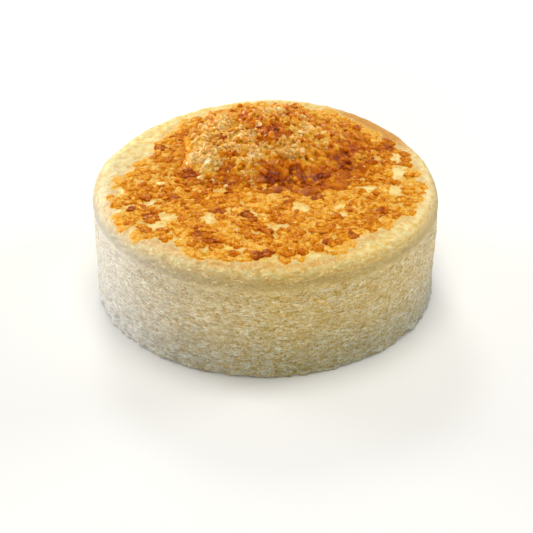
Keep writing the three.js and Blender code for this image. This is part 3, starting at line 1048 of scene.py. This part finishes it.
def heap_core():
    """Points and faces of the heap's own core."""
    angle = TURN * np.arange(CORE_STEPS) / CORE_STEPS
    wobble = waves(angle, HEAP_WAVES)
    rings = [(share, True) for share in (0.3, 0.6, 0.85, 1)]
    rings += [(1 - i / CORE_RINGS, False) for i in range(CORE_RINGS)]
    ground = float(top_z(*HEAP_CENTRE))
    points = [[(*HEAP_CENTRE, ground - CORE_UNDER)]]
    for share, under in rings:
        x = HEAP_CENTRE[0] + HEAP_HALF_WIDTH * wobble * share * np.cos(angle)
        y = HEAP_CENTRE[1] + HEAP_HALF_DEPTH * wobble * share * np.sin(angle)
        rise = -CORE_UNDER if under else heap_rise(x, y) - CORE_SINK
        points.append(np.stack([x, y, top_z(x, y) + rise], -1))
    points.append([(*HEAP_CENTRE, ground + float(heap_rise(*HEAP_CENTRE)) - CORE_SINK)])
    return np.concatenate(points), ring_faces(len(rings), CORE_STEPS)


def heap_spots(rng, pitch, reach):
    """Jittered places on the heap, out to a share of its outline."""
    spots = hex_spots(pitch, max(HEAP_HALF_WIDTH, HEAP_HALF_DEPTH) * 1.4, rng) + HEAP_CENTRE
    x, y = spots.T
    ragged = reach + 0.06 * noise_at(flat_points(x, y), 7, 34)
    ragged += HEAP_APRON * bell(np.arctan2(y - HEAP_CENTRE[1], x - HEAP_CENTRE[0]), -0.75, 0.8)
    return spots[heap_share(x, y) < ragged]


def heap_surface(x, y):
    """Height of the heap, or of the caramel round it."""
    share = heap_share(x, y)
    fade = smooth((1.12 - share) / 0.16)
    return top_z(x, y) + fade * (heap_rise(x, y) - CORE_SINK) + (1 - fade) * 0.6


def heap_paleness(x, y):
    """From about -1 among amber lumps to about 1 in pale clusters."""
    pale = 0.35 * noise_at(flat_points(x, y), 5, 35) - 0.008 * (x - 3)
    return np.clip(pale + 0.8 * near(x, y, HEAP_PALE) - 0.9 * near(x, y, HEAP_AMBER), -1, 1)


def resting_height(spots, piece):
    """Height in mm of the piece under each place, and just over the cake where there is none."""
    tree = BVHTree.FromObject(piece, bpy.context.evaluated_depsgraph_get())
    heights = []
    for x, y in spots:
        start = Vector((x - MIDDLE[0], y - MIDDLE[1], 90)) * MM
        hit = tree.ray_cast(start, Vector((0, 0, -1)))[0]
        heights.append(float(top_z(x, y)) + 0.3 if hit is None else hit.z / MM)
    return np.array(heights)


def lump_tone(rng, spots, middle, spread):
    """How pale the crumbs at those places are, from 0 to 1, about a middle tone."""
    x, y = spots.T
    patch = noise_at(flat_points(x, y), 9, 37)
    edge = smooth((heap_share(x, y) - 0.8) / 0.25)
    right, back = smooth((x - 5) / 20), smooth((y - 32) / 14)
    # The heap is made paler towards the right: painted light on its shaded right side.
    tone = middle + 0.36 * heap_paleness(x, y) + 0.14 * patch + 0.12 * right - 0.1 * edge * (1 - back)
    return tone + 0.08 * back + rng.normal(0, spread, len(spots))


def heap_lumps(rng):
    """The heap's large lumps: their places, heights, radii and tones."""
    spots = heap_spots(rng, 4.3, 0.98)
    size = rng.uniform(1.6, 3.1, len(spots))
    size *= 1 - 0.45 * smooth((heap_share(*spots.T) - 0.72) / 0.25)
    height = heap_surface(*spots.T) + size * rng.uniform(-0.6, 0.0, len(spots))
    return spots, height, size, lump_tone(rng, spots, 0.46, 0.12)


def heap_crumbs(rng, lumps, lump_height, lump_size):
    """Smaller crumbs that are stuck on the lumps and between them."""
    spots = heap_spots(rng, 3.0, 1.04)
    bulge = lump_size**2 - ((spots[:, None] - lumps) ** 2).sum(-1)
    perch = np.where(bulge > 0, lump_height + np.sqrt(np.maximum(bulge, 0)) * 0.9, -9).max(1)
    perch = np.maximum(perch, heap_surface(*spots.T))
    size = rng.uniform(0.8, 1.6, len(spots))
    height = perch + size * rng.uniform(-0.8, 0.0, len(spots))
    return spots, height, size, lump_tone(rng, spots, 0.52, 0.12)


def heap_apron(rng):
    """Crumbs that lie round the heap on the caramel, fewer further out and where the syrup is."""
    spots = heap_spots(rng, 2.4, 1.28)
    x, y = spots.T
    share = heap_share(x, y)
    reach = smooth((1.34 - share) / 0.36) * (0.35 + 0.65 * smooth((26 - y) / 20))
    reach *= 1 - 0.75 * glaze_share(x, y) * smooth((share - 1) / 0.1)
    spots = spots[(share > 0.95) & (rng.uniform(0, 1, len(spots)) < reach)]
    size = rng.uniform(0.7, 1.5, len(spots))
    height = top_z(*spots.T) + size * rng.uniform(0, 0.5, len(spots))
    return spots, height, size, lump_tone(rng, spots, 0.4, 0.1)


def heap_mass():
    """Amber lumps and crumbs that have fused with each other and with the core."""
    rng = np.random.default_rng(902)
    core, core_faces = heap_core()
    lumps = heap_lumps(rng)
    groups = zip(lumps, heap_crumbs(rng, *lumps[:3]), heap_apron(rng))
    spots, height, size, tone = map(np.concatenate, groups)
    centres = np.column_stack([spots, height])
    sizes = size[:, None] * rng.uniform(0.75, 1.25, (len(size), 3))
    rounded, faces = knobbly(5)
    shapes = np.concatenate([rounded, jagged(30, 7)[0]])
    points, triangles = scattered(rng, shapes, faces, centres, sizes)
    faces = core_faces + (triangles + len(core)).tolist()
    material = sugar_material("heap_mass", AMBER_STOPS, roughness=0.16, inner=0.8, coat=0.3, deep=2.2)
    obj = fused(mesh_object("crumble_mass", np.concatenate([core, points]), faces, material), HEAP_VOXEL)
    points, normals = points_of(obj), vectors(obj.data.vertex_normals, "vector")
    move_points(obj, points + normals * (0.12 * noise_at(points, 1.4, 70))[:, None])
    points = points_of(obj)
    over = points[:, 2] - heap_surface(points[:, 0], points[:, 1])
    own = nearest_tone(points, centres, tone) + 0.07 * np.clip(over - 1.2, -2, 2)
    set_attribute(obj, "tone", own + 0.12 * noise_at(points, 1.6, 33))
    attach(obj, "root")
    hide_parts("crumble_heap")
    return obj


def crumbs(name, rng, spots, kinds, sizes, lift, tone, material, mass):
    """One kind of loose crumb, scattered over the heap's mass."""
    shapes, faces = kinds
    centres = np.column_stack([spots, resting_height(spots, mass) + lift * sizes.min(1)])
    points, triangles = scattered(rng, shapes, faces, centres, sizes)
    obj = mesh_object(name, points, triangles, material, smooth_shaded=False)
    set_attribute(obj, "tone", np.repeat(tone, shapes.shape[1]) + 0.1 * noise_at(points, 1.2, 36))
    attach(obj, "root")


def golden_crumbs(rng, mass):
    spots = heap_spots(rng, 3.2, 0.96)
    spots = spots[heap_paleness(*spots.T) + rng.normal(0, 0.3, len(spots)) > 0.1]
    sizes = rng.uniform(0.7, 1.4, len(spots))[:, None] * rng.uniform(0.6, 1.3, (len(spots), 3))
    tone = lump_tone(rng, spots, 0.64, 0.1)
    material = sugar_material("crumb_golden", CRUMBLE_STOPS, roughness=0.3, inner=0.8, coat=0.3, speckle=0.18)
    crumbs("crumbs_golden", rng, spots, jagged(14, 8), sizes, -0.2, tone, material, mass)


def pale_crumbs(rng, mass):
    """Cream crystals, in clusters."""
    spots = heap_spots(rng, 1.12, 1.1)
    x, y = spots.T
    pattern = 0.8 * heap_paleness(x, y) + layers(flat_points(x, y), (0.8, 4, 38), (0.4, 1.6, 39))
    pattern -= 0.45 * smooth((heap_share(x, y) - 0.7) / 0.35)
    spots = spots[pattern + rng.normal(0, 0.15, len(spots)) > 0.4]
    kinds = chipped(rng, 16, 2, 7)
    sizes = rng.uniform(0.4, 0.95, len(spots))[:, None] * rng.uniform(0.6, 1.4, (len(spots), 3))
    tone = rng.normal(0.84, 0.12, len(spots))
    material = sugar_material(
        "crumb_pale", CRUMBLE_STOPS, roughness=0.22, inner=0.7, coat=0.25, speckle=0.12, deep=1.0
    )
    crumbs("crumbs_pale", rng, spots, kinds, sizes, 0.3, tone, material, mass)


def heap():
    mass = heap_mass()
    rng = np.random.default_rng(903)
    golden_crumbs(rng, mass)
    pale_crumbs(rng, mass)


# ---- syrup at the heap's foot


def syrup():
    """Dark syrup at the heap's front foot: a wavy sheet that dips under the crust at its edge."""
    x, y = np.meshgrid(*[np.arange(*span, SYRUP_PITCH) for span in SYRUP_SPAN], indexing="ij")
    _, faces = grid_faces(*x.shape)
    x, y = x.ravel(), y.ravel()
    glaze = glaze_share(x, y)
    ripples = 0.35 * noise_at(flat_points(x, y), 5, 53) + 0.25 * noise_at(flat_points(0.6 * x, y), 2.2, 54)
    points = np.column_stack([x, y, top_z(x, y) + 1.3 * glaze - 0.65 + ripples])
    points[:, 2] += noise_at(points, 17, 14) * 0.35
    used, faces = np.unique(faces[glaze[faces].min(1) > 0.02], return_inverse=True)
    material = sugar_material(
        "syrup", BURNT_STOPS, roughness=0.1, inner=0.15, coat=0.1, bump_mm=0.16, deep=2.0
    )
    obj = mesh_object("syrup", points[used], faces.reshape(-1, 4), material)
    points = points_of(obj)
    streaks = 0.14 * noise_at(points * (0.5, 1, 1), 2.4, 52)
    set_attribute(obj, "tone", 0.7 + 0.16 * noise_at(points, 6, 51) + streaks)
    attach(obj, "root")


# ---- stage, light and camera


def camera():
    lens = bpy.data.cameras.new("camera")
    lens.lens = FOCAL_PIXELS / FRAME_PIXELS * SENSOR_MM
    lens.sensor_width = SENSOR_MM
    lens.clip_start = 0.01
    obj = linked("camera", lens)
    x, y, z = CAMERA_TARGET
    back = CAMERA_DISTANCE * math.cos(CAMERA_PITCH)
    up = CAMERA_DISTANCE * math.sin(CAMERA_PITCH)
    obj.location = Vector((x, y - back, z + up)) * MM
    obj.rotation_euler = (math.pi / 2 - CAMERA_PITCH, 0, 0)
    bpy.context.scene.camera = obj


def soft_box(name, place, aim, size, power, tint=(1, 1, 1)):
    """An area light of that size in metres at a place in metres, turned to face a point."""
    light = bpy.data.lights.new(name, "AREA")
    light.shape = "RECTANGLE"
    light.size, light.size_y = size
    light.energy = power
    light.color = tint
    obj = linked(name, light)
    obj.location = place
    obj.rotation_euler = (Vector(aim) - Vector(place)).to_track_quat("-Z", "Y").to_euler()


def floor():
    mesh = bpy.data.meshes.new("floor")
    corners = [(x * FLOOR_HALF, y * FLOOR_HALF, 0) for x, y in ((-1, -1), (1, -1), (1, 1), (-1, 1))]
    mesh.from_pydata(corners, [], [(0, 1, 2, 3)])
    mesh.materials.append(Nodes("floor").finish(base_color="EFEFED", roughness=0.9, specular_ior_level=0.1))
    obj = linked("floor", mesh)


def lights():
    world = bpy.data.worlds.new("world")
    bpy.context.scene.world = world
    world.use_nodes = True
    background = world.node_tree.nodes["Background"]
    background.inputs["Color"].default_value = (1.0, 0.99, 0.97, 1)
    background.inputs["Strength"].default_value = 0.3
    top = (0, 0, 0.04)
    soft_box("left", (-1.66, 0.9, 0.16), top, (0.7, 0.3), 40, (0.92, 0.96, 1))
    soft_box("right", (1.7, 0.7, 0.45), top, (0.7, 0.5), 17.5, (0.96, 0.98, 1))
    soft_box("over", (0, 0.1, 1.9), top, (1.0, 1.0), 20, (1, 0.98, 0.94))
    soft_box("front", (-0.3, -1.75, 0.4), top, (0.6, 0.5), 10.4, (1, 0.98, 0.93))
    soft_box("back", (-0.3, 1.6, 1.2), top, (0.45, 0.45), 9)
    bpy.context.scene.view_settings.view_transform = "Standard"


# ---- the scene


def main():
    rng = np.random.default_rng(512)
    petals = petals_of(rng, splats(rng))
    fields = sugar_fields(petals)
    sponge(fields)
    sponge_cap(fields)
    crust(petals)
    heap()
    syrup()
    floor()
    lights()
    camera()
    bpy.context.view_layer.update()


main()
